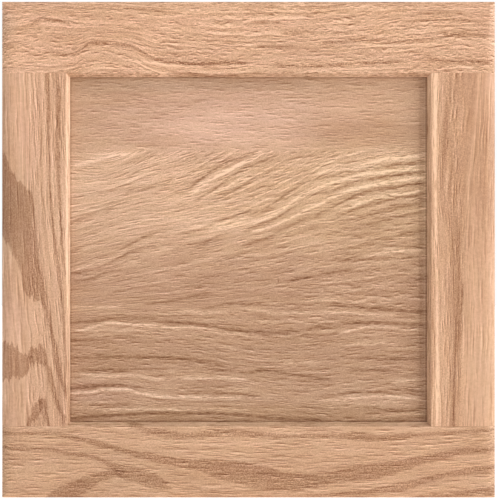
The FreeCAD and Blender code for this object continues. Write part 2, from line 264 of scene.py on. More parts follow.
PANEL_LINES = [
    (CLEAR, [(143, 257.5), (155, 260), (163, 265), (170, 271), (179, 277), (200, 287), (215, 292)]),
    (-FAINT, [(160, 256), (170, 264), (191, 277), (200, 282), (212, 287)]),
    (CLEAR, [(158, 249), (170, 255), (180, 261), (190, 269), (200, 275), (232, 288)]),
    (-FAINT, [(168, 252), (180, 258.5), (191, 263), (200, 269), (212, 274)]),
    (FAINT, [(180, 250.5), (200, 262), (212, 268)]),
    (FAINT, [(105, 258), (123, 261.5), (131, 264), (141, 268), (148, 274)]),
    (-FAINT, [(62, 281), (80, 286), (95, 289.5), (115, 291)]),
    (FAINT, [(58, 233), (82, 242), (98, 246)]),
    (FAINT, [(150, 223), (170, 228), (180, 232), (200, 239), (214, 243)]),
    (CLEAR, [(140, 209), (160, 214), (170, 215.5), (180, 220), (200, 226.5), (209, 230)]),
    (-FAINT, [(172, 218.5), (197, 225), (209, 229)]),
    (-FAINT, [(172, 224), (204, 233.5)]),
    (FAINT, [(101, 211), (111, 215.5), (119, 220), (131, 224)]),
    (CLEAR, [(58, 189), (66, 190), (100, 203), (108, 208), (134, 214)]),
    (-FAINT, [(60, 192), (78, 196), (105, 206)]),
    (FAINT, [(58, 182), (77, 186), (88, 190), (105, 193.5)]),
    (FAINT, [(118, 163), (131, 164), (152, 168), (165, 171), (178, 172)]),
    (CLEAR, [(165, 159), (180, 161), (191, 163), (209, 163.5), (225, 163)]),
    (-FAINT, [(58, 160), (75, 161), (89, 161), (105, 162.5)]),
    (-FAINT, [(148, 159), (160, 157.5), (178, 156.5), (195, 157)]),
    (CLEAR, [(57, 148), (75, 149), (95, 151.5), (115, 152), (130, 151)]),
    (-CLEAR, [(58, 141.5), (70, 142.5), (92, 147.5), (110, 146), (131, 145), (142, 142.5)]),
    (-CLEAR, [(136, 143), (157, 143.5), (190, 138.5), (209, 137), (222, 135)]),
    (STRONG, [(132, 149), (155, 147.5), (174, 145), (191, 142), (230, 139), (252, 140)]),
    (FAINT, [(57, 132), (105, 136), (118, 134)]),
    (FAINT, [(57, 119), (80, 118), (110, 118), (150, 116.5), (190, 112)]),
    (FAINT, [(65, 107.5), (95, 107.5), (118, 108.5), (140, 106)]),
    (-FAINT, [(66, 104), (95, 102.5), (111, 104), (122, 101), (140, 99)]),
    (-FAINT, [(150, 100), (185, 101), (209, 99)]),
    (STRONG, [(57, 92.5), (95, 94.5), (120, 91)]),
    (-CLEAR, [(58, 88), (78, 89), (84, 91), (104, 91), (118, 87.5), (131, 85.5), (205, 84)]),
    (CLEAR, [(175, 106), (191, 107), (206, 105), (220, 107), (235, 105.5), (282, 98)]),
    (FAINT, [(180, 88), (200, 87), (216, 85)]),
    (-FAINT, [(85, 72.5), (100, 74), (190, 74.5), (212, 74)]),
    (CLEAR, [(57, 66), (80, 68.5), (105, 69.5), (118, 70.5), (172, 71), (195, 70), (222, 67.5), (275, 65)]),
    (FAINT, [(57, 78), (80, 78), (112, 79)]),
    (CLEAR, [(206, 238), (220, 243), (231, 250), (243, 258.5), (262, 268.5), (290, 272.5)]),
    (CLEAR, [(286, 272), (320, 279), (358, 284)]),
    (-CLEAR, [(262, 272), (275, 276), (301, 279), (320, 284.5), (356, 289)]),
    (-STRONG, [(209, 231.5), (220, 235), (231, 240), (250, 253), (260, 259), (270, 264), (290, 268.5)]),
    (-STRONG, [(286, 267.5), (305, 273), (340, 277.5), (356, 279)]),
    (STRONG, [(206, 226), (221, 231.5), (231, 236), (251, 249.5), (260, 255), (280, 260)]),
    (STRONG, [(274, 257), (290, 263.5), (301, 267), (320, 270.5), (358, 275.5)]),
    (-CLEAR, [(212, 225), (221, 227), (240, 234.5), (250, 239), (260, 244.5), (271, 248.5)]),
    (-STRONG, [(265, 246.5), (290, 258), (301, 261), (320, 265), (340, 268.5), (356, 270.5)]),
    (CLEAR, [(209, 214.5), (220, 217.5), (240, 228), (262, 238)]),
    (STRONG, [(262, 237), (271, 241), (290, 251), (301, 256), (320, 260.5), (358, 266.5)]),
    (-CLEAR, [(270, 235), (301, 248), (320, 254), (340, 257), (356, 260)]),
    (CLEAR, [(278, 234), (290, 240), (301, 244.5), (320, 250), (358, 257)]),
    (FAINT, [(300, 236), (340, 246), (358, 250)]),
    (FAINT, [(308, 229.5), (322, 234), (335, 236.5), (352, 241)]),
    (-FAINT, [(225, 218), (240, 222.5), (262, 231)]),
    (FAINT, [(322, 226), (340, 224.5), (357, 225)]),
    (FAINT, [(300, 213), (320, 214), (340, 212), (357, 212)]),
    (-CLEAR, [(300, 201.5), (320, 206), (340, 208.5), (356, 209)]),
    (CLEAR, [(283, 199), (295, 201.5), (320, 202), (352, 203.5)]),
    (CLEAR, [(240, 181.5), (252, 185), (264, 186.5), (286, 191.5), (300, 193.5)]),
    (FAINT, [(300, 190.5), (320, 192), (346, 192)]),
    (-FAINT, [(255, 165), (270, 166.5), (289, 167.5)]),
    (CLEAR, [(275, 163.5), (310, 160), (358, 157)]),
    (-FAINT, [(201, 158.5), (220, 157.5), (232, 155.5), (262, 156.5), (285, 156.5), (305, 155), (332, 154)]),
    (FAINT, [(256, 141), (268, 144.5), (283, 143)]),
    (CLEAR, [(285, 148), (340, 146.5), (358, 145)]),
    (-CLEAR, [(286, 139), (298, 141.5), (311, 143.5), (325, 143.5), (340, 142), (356, 141.5)]),
    (-FAINT, [(285, 128), (297, 129.5), (320, 130), (342, 129)]),
    (FAINT, [(283, 119), (320, 117), (354, 117.5)]),
    (-FAINT, [(235, 112), (252, 114), (276, 113.5)]),
    (FAINT, [(290, 108), (315, 107.5), (336, 106)]),
    (-FAINT, [(328, 96.5), (343, 99), (357, 100.5)]),
    (CLEAR, [(268, 86), (283, 87), (300, 89), (322, 88.5), (340, 90.5), (358, 88)]),
    (-CLEAR, [(277, 80), (286, 82), (301, 84), (320, 85.5), (357, 83)]),
    (FAINT, [(250, 77), (270, 76), (290, 77.5), (330, 73.5), (354, 73)]),
    (-FAINT, [(305, 66.5), (325, 68.5), (345, 69.5), (357, 69.5)]),
]
PANEL_BROAD_LINES = [
    (-SOFT, [(60, 280.5), (78, 286.5), (94, 291), (107, 292)]),
    (-SOFT, [(131, 281.5), (145, 288), (156, 291)]),
    (-SOFT, [(161, 257), (173, 269), (187, 277.5), (205, 283), (217, 287.5)]),
    (-SOFT, [(156, 248.5), (173, 256), (191, 269), (217, 280.5)]),
    (-SOFT, [(136, 246), (167, 262)]),
    (-SOFT, [(102, 209.5), (173, 230), (217, 237.5)]),
    (-SOFT, [(78, 181.5), (107, 197), (142, 210.5), (183, 224), (217, 232.5)]),
    (SOFT, [(89, 259.5), (112, 259.5), (131, 267), (147, 275.5)]),
    (SOFT, [(156, 263.5), (169, 269), (183, 280), (205, 288), (217, 291.5)]),
    (SOFT, [(169, 252.5), (183, 263.5), (201, 274.5), (217, 283)]),
    (SOFT, [(63, 232.5), (82, 244.5), (127, 252)]),
]
# The first, a darker strip along the top edge, is painted shade
PANEL_PATCHES = [
    (200, 350, 110, 7, -7), (60, 338, 70, 50, -7), (200, 315, 75, 30, 12), (345, 308, 110, 14, -14),
    (355, 282, 110, 16, 7), (197, 263, 40, 10, -8), (128, 250, 110, 50, 6), (290, 232, 65, 16, -9),
    (178, 230, 40, 10, 9), (118, 140, 65, 7, 10), (294, 140, 65, 16, 5), (316, 80, 40, 7, 12),
]
# Two small marks in the wood, and by the right stile a strip of painted shade and, nearer the stile, a strip
# of painted light
PANEL_MARKS_AND_SHADE = [
    (233.5, 183.3, 0.7, 2.2, -34), (212.4, 253.9, 1.5, 1.2, -26),
    (353.8, 210, 1.7, 180, -12), (357.6, 210, 1.1, 180, 16),
]
# The greyer strip along the top edge gives the shade there its painted colour
PANEL_HUES = {
    "pinker": (0, [
        (180, 320, 125, 34, 3.5), (350, 252, 200, 60, -3), (105, 183, 200, 20, 1), (80, 90, 42, 12, 2.5),
        (230, 68, 200, 12, -2),
    ]),
    "greyer": (1, [
        (120, 350, 200, 8, 4), (304, 321, 42, 34, -2.5), (185, 286, 125, 90, -2), (225, 70, 200, 90, 2),
    ]),
}
PANEL_GRAIN = {
    "Fine": 34, "Middle": 31, "Broad": 21,
    "Rings": [(64, 17), (190, 18), (215, 22), (285, 22), (293, 14), (296, 6), (355, 6)],
    "Ring_Width": 6, "Follow": 0.55, "Stretch": 0.95, "Ripple": 0.5, "Speckle": 0.0,
}
# How strong all the panel's grain is, by height
PANEL_STRENGTH = [(64, 0.95), (190, 0.92), (235, 0.9), (285, 1.08), (292, 1.08), (296, 0.76), (355, 0.72)]
# How much paler the panel is, by height, in levels
PANEL_SHADE = [
    (64, -18), (78, -18), (102, -20), (125, -25), (150, -22), (174, -19), (197, -15), (222, -7), (245, 0),
    (269, 2), (294, 0), (317, -1), (341, -2), (355, -2),
]
SEAM_HEIGHT = 293.7  # mm to the seam between the two leaves
LEAF_APART = 900.0  # mm of growth between the leaves, so that their grain differs
PANEL_DEPTH = 7.2  # mm from the frame's front faces to the panel's
OPENING_LOW, OPENING_HIGH = (57.2, 63.5), (359.3, 355.5)  # corners of the opening that shows the panel
# The shade beside the left, right, lower and upper member: levels darker, and mm over which it fades
EDGE_SHADES = [(6, 7), (20, 9), (24, 7), (20, 8)]
# How the panel's darkest and palest colours differ from the frame's
PANEL_PORES, PANEL_PALE = (0.0, 0.01, 0.005), (-0.005, 0.012, 0.02)


# Node trees

DARKEST, SPAN = 75.0, 140.0  # level of the darkest pores, and levels from there to the palest wood
CURVE_LENGTH = 420.0  # mm along a board, or across the door, that a curve node covers
ACROSS_RANGE = (-100.0, 520.0)  # mm across a board that it can give
LINE_RANGE = (-60.0, 60.0)  # levels that it can give for a growth line
SHADE_RANGE = (-30.0, 30.0)  # levels that it can give for a shade
STREAK_RANGE = (0.0, 60.0)  # levels that it can give for streaks and blotches
STRENGTH_RANGE = (0.0, 2.0)  # how strong a board's grain can be made by it
VALUE, COLOUR = "NodeSocketFloat", "NodeSocketColor"


def levels(number):
    """A change of tone, from a change in display levels."""
    return number / SPAN


def linear(level):
    """The linear value of a display level from 0 to 1."""
    return level / 12.92 if level <= 0.04045 else ((level + 0.055) / 1.055) ** 2.4


class Tree:
    """Adds linked nodes to a node tree. A value is a number, a vector or another node's output."""

    def __init__(self, tree):
        self.tree = tree

    def node(self, kind, **settings):
        node = self.tree.nodes.new(kind)
        for name, value in settings.items():
            setattr(node, name, value)
        return node

    def put(self, socket, value):
        if isinstance(value, bpy.types.NodeSocket):
            self.tree.links.new(value, socket)
        else:
            socket.default_value = value

    def math(self, operation, *values):
        node = self.node("ShaderNodeMath", operation=operation)
        for socket, value in zip(node.inputs, values):
            self.put(socket, value)
        return node.outputs[0]

    def add(self, a, b):
        return self.math("ADD", a, b)

    def subtract(self, a, b):
        return self.math("SUBTRACT", a, b)

    def multiply(self, a, b):
        return self.math("MULTIPLY", a, b)

    def total(self, values):
        """The sum of several values."""
        first, *rest = values
        for value in rest:
            first = self.add(first, value)
        return first

    def scaled(self, value, factor, offset):
        return self.math("MULTIPLY_ADD", value, factor, offset)

    def step(self, value, low, high, to_low=0.0, to_high=1.0):
        """A smooth step as the value goes from low to high."""
        node = self.node("ShaderNodeMapRange", interpolation_type="SMOOTHSTEP")
        names = ("Value", "From Min", "From Max", "To Min", "To Max")
        for name, number in zip(names, (value, low, high, to_low, to_high)):
            self.put(node.inputs[name], number)
        return node.outputs["Result"]

    def texture(self, kind, spot, lengths, shift):
        """A texture at a spot, stretched to these lengths in mm. Each shift gives another part of it."""
        node = self.node(kind)
        place = self.node("ShaderNodeCombineXYZ")
        shifts = (shift, shift * 0.7, shift * 0.4)
        for socket, value, length, offset in zip(place.inputs, spot, lengths, shifts):
            self.put(socket, self.scaled(value, 1.0 / length, offset))
        self.put(node.inputs["Vector"], place.outputs[0])
        node.inputs["Scale"].default_value = 1.0
        return node

    def noise(self, spot, lengths, shift=0.0, detail=0.0, roughness=0.5):
        """Noise whose features have these lengths in mm in the three directions, from -1 to 1."""
        node = self.texture("ShaderNodeTexNoise", spot, lengths, shift)
        node.inputs["Detail"].default_value = detail
        node.inputs["Roughness"].default_value = roughness
        return self.scaled(node.outputs[0], 2.0, -1.0)

    def dashes(self, spot, lengths, share, shift):
        """Separate short dashes of about these lengths in mm, from 0 between them to 1 inside.

        share is how many of the places hold one.
        """
        node = self.texture("ShaderNodeTexVoronoi", spot, lengths, shift)
        pick = self.node("ShaderNodeSeparateColor")
        self.put(pick.inputs[0], node.outputs["Color"])
        there = self.step(pick.outputs[0], share, share - 0.25)
        return self.multiply(self.step(node.outputs["Distance"], 0.46, 0.14), there)

    def lookup(self, value, points, bottom, top):
        """A smooth curve through points of (value, result). The results lie between bottom and top."""
        node = self.node("ShaderNodeFloatCurve")
        mapping = node.mapping
        mapping.extend = "HORIZONTAL"
        line = mapping.curves[0]
        spots = [(x / CURVE_LENGTH, (y - bottom) / (top - bottom)) for x, y in points]
        line.points[0].location, line.points[1].location = spots[0], spots[-1]
        for spot in spots[1:-1]:
            line.points.new(*spot)
        for point in line.points:
            point.handle_type = "AUTO_CLAMPED"
        mapping.update()
        self.put(node.inputs["Value"], self.multiply(value, 1.0 / CURVE_LENGTH))
        return self.scaled(node.outputs[0], top - bottom, bottom)

    def curve(self, along, points):
        """A smooth line across the board, through points of (along, across) in mm."""
        return self.lookup(along, points, *ACROSS_RANGE)

    def by_place(self, across, amount, bottom, top):
        """The amount itself if it is a number, or the smooth curve through its points of (across, amount)."""
        if isinstance(amount, list):
            return self.lookup(across, amount, bottom, top)
        return amount

    def group(self, tree, **inputs):
        """Places a node group, and returns its outputs by name."""
        node = self.node("ShaderNodeGroup", node_tree=tree)
        for name, value in inputs.items():
            self.put(node.inputs[name.replace("_", " ")], value)
        return node.outputs


def new_group(name, inputs, outputs):
    """A node group with float inputs, a Tree to fill it with, its inputs' values and its outputs."""
    tree = bpy.data.node_groups.new(name, "ShaderNodeTree")
    for title in inputs:
        tree.interface.new_socket(title, in_out="INPUT", socket_type=VALUE)
    for title in outputs:
        kind = COLOUR if title == "Color" else VALUE
        tree.interface.new_socket(title, in_out="OUTPUT", socket_type=kind)
    made = Tree(tree)
    return tree, made, made.node("NodeGroupInput").outputs, made.node("NodeGroupOutput").inputs


def shared(name, build, *values):
    """A node group that several boards share, built when the first of them needs it."""
    return bpy.data.node_groups.get(name) or build(name, *values)


def door_millimetres(name):
    """Where a point is on the door, in mm from its lower left front corner, and how it faces."""
    tree, made, _, out = new_group(name, (), ("Sideways", "Upward", "Depth", "Faces Side", "Faces Up"))
    place = made.node("ShaderNodeTexCoord")
    split = made.node("ShaderNodeSeparateXYZ")
    made.put(split.inputs[0], place.outputs["Object"])
    for socket, axis in (("Sideways", 0), ("Depth", 1), ("Upward", 2)):
        made.put(out[socket], made.scaled(split.outputs[axis], 1 / MM, -DOOR_LOW[axis] / MM))
    facing = made.node("ShaderNodeSeparateXYZ")
    made.put(facing.inputs[0], place.outputs["Normal"])
    made.put(out["Faces Side"], made.math("ABSOLUTE", facing.outputs[0]))
    made.put(out["Faces Up"], made.math("ABSOLUTE", facing.outputs[2]))
    return tree


# Oak grain

STREAKS = ("Fine", "Middle", "Broad", "Rings")
GRAIN_GIVES = ("Tone", "Pores", "Height")
PALE_SHARE = 0.75  # how strong the pale wood beside a pore is, against the pore


def pores(made, spot, lengths, share, gap, shift):
    """Dark pores of these lengths, and the tone of them with the paler wood at their sides."""
    along, across, depth = spot
    dark = made.dashes(spot, lengths, share, shift)
    pale = made.dashes((along, made.add(across, gap), depth), lengths, share, shift)
    return dark, made.subtract(made.multiply(pale, PALE_SHARE), dark)


def rings(made, growth, spread, spot):
    """Growth rings: each starts with a sharp dark line and turns paler from there to the next."""
    drift = made.multiply(made.noise(spot, (160, 30, 30), shift=43.0), 1.2)
    phase = made.math("FRACT", made.add(made.math("DIVIDE", growth, spread), drift))
    ring = made.add(made.step(phase, 0.0, 0.12, -1.0, 1.0), made.scaled(phase, -1.6, 0.1))
    strength = made.step(made.noise(spot, (55, 9, 12), shift=23.0), -0.35, 0.35, 0.1, 1.0)
    return made.multiply(ring, strength)


def oak_grain(name):
    """Growth rings, with short pores and paler dashes along the board, as a change of tone.

    The pores lie nearly along the board, also where the rings sweep across it: Follow says how much they turn
    with the rings. Height is how far the pores go below the surface.
    """
    amounts = (*STREAKS, "Speckle", "Ring Width", "Follow", "Stretch", "Ripple")
    tree, made, given, out = new_group(name, ("Along", "Across", "Depth", "Growth", *amounts), GRAIN_GIVES)
    along, depth = given["Along"], given["Depth"]
    sway = made.noise((along, given["Growth"], depth), (18, 9, 9), detail=1.0)
    growth = made.add(given["Growth"], made.multiply(sway, 1.6))
    turned = made.multiply(made.subtract(given["Growth"], given["Across"]), given["Follow"])
    across = made.total([given["Across"], turned, made.multiply(sway, 0.9)])
    ripple = made.noise((along, across, depth), (6, 3.5, 3), shift=31.0)
    across = made.add(across, made.multiply(ripple, given["Ripple"]))
    ring = rings(made, growth, given["Ring Width"], (along, growth, depth))
    stretched = (made.math("DIVIDE", along, given["Stretch"]), across, depth)
    short, fine = pores(made, stretched, (9.0, 1.5, 1.5), 1.0, 0.8, shift=7.0)
    long, middle = pores(made, stretched, (19.0, 2.3, 2.3), 0.9, 1.2, shift=3.0)
    specks = made.noise((along, across, depth), (1.3, 0.8, 0.8), shift=17.0, detail=1.0, roughness=0.7)
    streaks = made.noise(stretched, (30, 3.6, 5), shift=13.0, detail=2.0, roughness=0.6)
    clouds = made.noise((along, growth, depth), (75, 17, 20), shift=19.0, detail=1.5)
    made.put(out["Tone"], made.total([
        made.multiply(made.add(fine, made.multiply(specks, 1.1)), given["Fine"]),
        made.multiply(middle, given["Middle"]),
        made.multiply(made.add(streaks, made.multiply(clouds, 0.8)), given["Broad"]),
        made.multiply(ring, given["Rings"]),
        made.multiply(specks, given["Speckle"]),
    ]))
    mask = made.math("MAXIMUM", short, long)
    made.put(out["Pores"], mask)
    made.put(out["Height"], made.scaled(mask, -0.08, made.multiply(middle, 0.02)))
    return tree


RAMP_STOPS = 6
# How one level of the pinker and of the greyer hue changes red, green and blue
PINKER = (-0.0024, -0.0077, 0.013)
GREYER = (-0.0085, 0.0027, 0.0099)


def oak_colour(name, dark, light):
    """Wood colour by tone, on a ramp from the darkest pores to the palest wood."""
    tree, made, given, out = new_group(name, ("Tone", "Pink", "Grey"), ("Color",))
    ramp = made.node("ShaderNodeValToRGB")
    made.put(ramp.inputs[0], given["Tone"])
    stops = ramp.color_ramp.elements
    while len(stops) < RAMP_STOPS:
        stops.new(0.5)
    for index, stop in enumerate(stops):
        share = index / (RAMP_STOPS - 1)
        stop.position = share
        stop.color = [linear(d + (p - d) * share) for d, p in zip(dark, light)] + [1.0]
    split, join = made.node("ShaderNodeSeparateColor"), made.node("ShaderNodeCombineColor")
    made.put(split.inputs[0], ramp.outputs["Color"])
    for index, (pinker, greyer) in enumerate(zip(PINKER, GREYER)):
        change = made.total([made.multiply(given["Pink"], pinker), made.multiply(given["Grey"], greyer), 1.0])
        made.put(join.inputs[index], made.multiply(split.outputs[index], change))
    made.put(out["Color"], join.outputs[0])
    return tree


# Figure of a board

LANE_GAP = 12.0  # mm between growth lines that one curve draws
TAPER = 9.0  # mm over which a line fades at its ends
LEAD = 3.0  # mm that it goes on, fading, beyond its last points
LINE_SPREAD = 0.93  # mm to each side of a line where it is down to six tenths
BROAD_SPREAD = 2.3 * LINE_SPREAD
NEXT_TO_NOTHING = 1e-6
ALONG_SLANT = 0.4  # mm that a board's figure moves along it for each mm of depth
PANEL_SLANT = 0.3  # mm that the panel's figure moves across it for each mm of depth
EDGE_LINE = -22  # levels of the thin line of painted shade where the panel goes into the frame


def height_at(points, along):
    """Straight interpolation between the points of a line."""
    for (a, b), (c, d) in zip(points, points[1:]):
        if along <= c:
            return b + (d - b) * max(0.0, (along - a) / (c - a))
    return points[-1][1]


def mean_gap(low, high):
    """The mean distance between two lines, in mm."""
    start, end = max(low[0][0], high[0][0]), min(low[-1][0], high[-1][0])
    places = [start + (end - start) * i / 20 for i in range(21)]
    return sum(height_at(high, place) - height_at(low, place) for place in places) / len(places)


def growth_between(made, along, across, lines):
    """A distance across the grain that follows these growth lines, in mm."""
    heights = [made.curve(along, line) for line in lines]
    growth = 0.0
    last = len(lines) - 2
    for index, (low, high) in enumerate(zip(heights, heights[1:])):
        share = made.math("DIVIDE", made.subtract(across, low), made.subtract(high, low))
        if index > 0:
            share = made.math("MAXIMUM", share, 0.0)
        if index < last:
            share = made.math("MINIMUM", share, 1.0)
        growth = made.scaled(share, mean_gap(lines[index], lines[index + 1]), growth)
    return growth


def band(made, along, across, edges, soft_low, soft_high):
    """How far a point is inside a dark band, from 0 to 1. Its edges fade over soft_low and soft_high mm."""
    low = made.curve(along, [(a, b) for a, b, _ in edges])
    high = made.curve(along, [(a, c) for a, _, c in edges])
    above = made.step(made.subtract(across, low), -soft_low / 2, soft_low / 2)
    below = made.step(made.subtract(high, across), -soft_high / 2, soft_high / 2)
    return made.multiply(above, below)


def lanes(lines):
    """Shares lines out to as few lanes as hold them one after another."""
    packed = []
    for line in sorted(lines, key=lambda line: line[1][0][0]):
        for lane in packed:
            if lane[-1][1][-1][0] + LANE_GAP < line[1][0][0]:
                lane.append(line)
                break
        else:
            packed.append([line])
    return packed


def drawn_on(points):
    """The points with one more at each end, so that the line leaves straight."""
    (a, b), (c, d) = points[:2]
    (e, f), (g, h) = points[-2:]
    return [(a - LEAD, b - LEAD * (d - b) / (c - a)), *points, (g + LEAD, h + LEAD * (h - f) / (g - e))]


def after(made, sum_so_far, along):
    """The same place along the board, but only known once the sum is, so that few values are held at once."""
    return along if sum_so_far == 0.0 else made.scaled(sum_so_far, NEXT_TO_NOTHING, along)


def growth_lines(outer, along, across, lines, spread=LINE_SPREAD):
    """The tone of fine growth lines, dark or pale, each fading to both sides and at its ends."""
    tree, made, given, out = new_group("growth_lines", ("Along", "Across"), ("Tone",))
    tone = 0.0
    for lane in lanes(lines):
        here = after(made, tone, given["Along"])
        places, darkness = [], []
        for dark, points in lane:
            start, end = points[0][0], points[-1][0]
            full = min(TAPER, (end - start) / 3)
            places += drawn_on(points)
            darkness += [(start - LEAD, 0.0), (start + full, dark), (end - full, dark), (end + LEAD, 0.0)]
        away = made.subtract(given["Across"], made.curve(here, places))
        shape = made.math("EXPONENT", made.multiply(made.multiply(away, away), -0.5 / spread ** 2))
        tone = made.add(tone, made.multiply(shape, made.lookup(here, darkness, *LINE_RANGE)))
    made.put(out["Tone"], made.multiply(tone, levels(-1.0)))
    return outer.group(tree, Along=along, Across=across)["Tone"]


def broken_up(made, lines, along, growth, across, depth):
    """Growth lines that fade in and out, and look like rows of short pores."""
    fade = made.step(made.noise((along, growth, depth), (48, 12, 12), shift=9.0), -0.4, 0.3, 0.7, 1.2)
    rows = made.noise((along, across, depth), (5, 1.3, 2), shift=33.0, detail=1.0)
    return made.multiply(lines, made.multiply(fade, made.step(rows, -0.45, 0.45, 0.45, 1.6)))


def ragged(made, along, growth, depth, shift, amount):
    """Small chance steps to the side, in mm, for the edge of a band or line."""
    return made.multiply(made.noise((along, growth, depth), (6, 1.3, 2), shift=shift, detail=1.0), amount)


def soft_patches(made, along, across, patches, unit):
    """The sum of soft ovals: (along, across, half length, half height, change in units)."""
    sum_so_far = 0.0
    for middle_along, middle_across, length, height, change in patches:
        here = after(made, sum_so_far, along)
        sideways = made.math("POWER", made.scaled(here, 1 / length, -middle_along / length), 2.0)
        upward = made.math("POWER", made.scaled(across, 1 / height, -middle_across / height), 2.0)
        away = made.math("POWER", made.add(sideways, upward), 0.5)
        sum_so_far = made.add(sum_so_far, made.step(away, 1.25, 0.3, 0.0, change * unit))
    return sum_so_far


def new_figure(name):
    """A group for a board's growth and the tone of its dark bands, patches and growth lines."""
    return new_group(name, ("Along", "Across", "Depth"), ("Growth", "Tone"))


def board_figure(name, flow, bands, patches, slant, fingers, lines=()):
    """The figure of a rail or a stile.

    A band is its points, how soft its low and its high edge is, and its levels. slant is how far the growth
    moves across the grain for each mm of depth, and fingers how far the bands' ends reach out along it.
    """
    tree, made, given, out = new_figure(name)
    depth = given["Depth"]
    along = made.scaled(depth, ALONG_SLANT, given["Along"])
    across = made.scaled(depth, slant, given["Across"])
    growth = growth_between(made, along, across, flow)
    waves = made.multiply(made.noise((along, growth, depth), (20, 8, 8), shift=9.0), 0.9)
    edge = made.total([across, ragged(made, along, growth, depth, 5.0, 1.5), waves])
    reach = made.noise((along, across, depth), (70, 2.4, 5), shift=27.0, detail=1.0)
    reaching = made.add(along, made.multiply(reach, fingers))
    tones = [
        made.multiply(band(made, reaching, edge, points, soft_low, soft_high), levels(change))
        for points, soft_low, soft_high, change in bands
    ]
    if lines:
        rough = made.add(across, ragged(made, along, growth, depth, 15.0, 0.5))
        drawn = growth_lines(made, along, rough, lines)
        tones.append(broken_up(made, drawn, along, growth, across, depth))
    tones.append(soft_patches(made, along, across, patches, levels(1.0)))
    made.put(out["Tone"], made.total(tones))
    made.put(out["Growth"], growth)
    return tree


def edge_shade(made, along, across):
    """The painted shade where the panel goes into the frame: a thin dark line, and a softer shade beside each
    member.
    """
    (left, bottom), (right, top) = OPENING_LOW, OPENING_HIGH
    distances = [
        made.subtract(along, left), made.subtract(right, along),
        made.subtract(across, bottom), made.subtract(top, across),
    ]
    nearest, *others = distances
    for distance in others:
        nearest = made.math("MINIMUM", nearest, distance)
    shades = [made.step(nearest, 1.9, 0.2, 0.0, levels(EDGE_LINE))]
    for distance, (dark, reach) in zip(distances, EDGE_SHADES):
        fading = made.math("EXPONENT", made.multiply(distance, -1.0 / reach))
        shades.append(made.multiply(fading, levels(-dark)))
    return made.total(shades)


def panel_figure():
    """The two leaves of the panel, with the lower one's growth lines and the shade at its edges."""
    tree, made, given, out = new_figure("panel_figure")
    along, depth = given["Along"], given["Depth"]
    across = made.scaled(made.subtract(depth, PANEL_DEPTH), PANEL_SLANT, given["Across"])
    lower = growth_between(made, along, across, LOWER_LEAF_FLOW)
    upper = made.add(growth_between(made, along, across, UPPER_LEAF_FLOW), LEAF_APART)
    above = made.step(made.subtract(across, SEAM_HEIGHT), -0.4, 0.4)
    below = made.subtract(1.0, above)
    growth = made.add(made.multiply(lower, below), made.multiply(upper, above))
    made.put(out["Growth"], growth)
    sway = made.multiply(made.noise((along, growth, depth), (26, 12, 12), shift=5.0, detail=1.0), 0.3)
    rough = made.total([across, sway, ragged(made, along, growth, depth, 15.0, 0.5)])
    lines = made.multiply(below, made.add(
        growth_lines(made, along, rough, PANEL_LINES),
        growth_lines(made, along, rough, PANEL_BROAD_LINES, BROAD_SPREAD),
    ))
    made.put(out["Tone"], made.total([
        soft_patches(made, along, across, PANEL_PATCHES + PANEL_MARKS_AND_SHADE, levels(1.0)),
        made.multiply(made.lookup(across, PANEL_SHADE, *SHADE_RANGE), levels(1.0)),
        broken_up(made, lines, along, growth, across, depth),
        edge_shade(made, along, given["Across"]),
    ]))
    return tree


# Materials

END_GRAIN = -16  # levels of the sawn ends
HUE_WANDER = 2.5  # how far the hue goes by chance, in levels
BEVEL_GREY = 5.0  # how much greyer the bevels are: a painted change of hue that offsets the warm light the panel throws onto them
RIM_GREY = -9.0  # how much greyer the panel's edge gets with its shade, whose tones are below 0
PORE_ROUGHNESS = 0.18  # how much rougher the pores are
RELIEF, SPECULAR = 0.35, 0.35


def wandering_hue(made, spot, whole, patches, shift):
    """A hue over the board: a chance part, the whole board's, and soft patches."""
    along, across, _ = spot
    chance = made.multiply(made.noise(spot, (26, 7, 12), shift=shift, detail=1.0), HUE_WANDER)
    return [chance, whole, soft_patches(made, along, across, patches, 1.0)]


def finish_shader(made, shader, oak, streaks):
    """Sheen and relief: open pores, and a thin coat of satin lacquer."""
    made.put(shader.inputs["Roughness"], made.scaled(streaks["Pores"], PORE_ROUGHNESS, oak.roughness))
    bump = made.node("ShaderNodeBump")
    bump.inputs["Strength"].default_value = RELIEF
    bump.inputs["Distance"].default_value = MM
    made.put(bump.inputs["Height"], streaks["Height"])
    made.put(shader.inputs["Normal"], bump.outputs["Normal"])
    shader.inputs["Specular IOR Level"].default_value = SPECULAR
    shader.inputs["Coat Weight"].default_value = oak.lacquer
    shader.inputs["Coat Roughness"].default_value = oak.lacquer_roughness


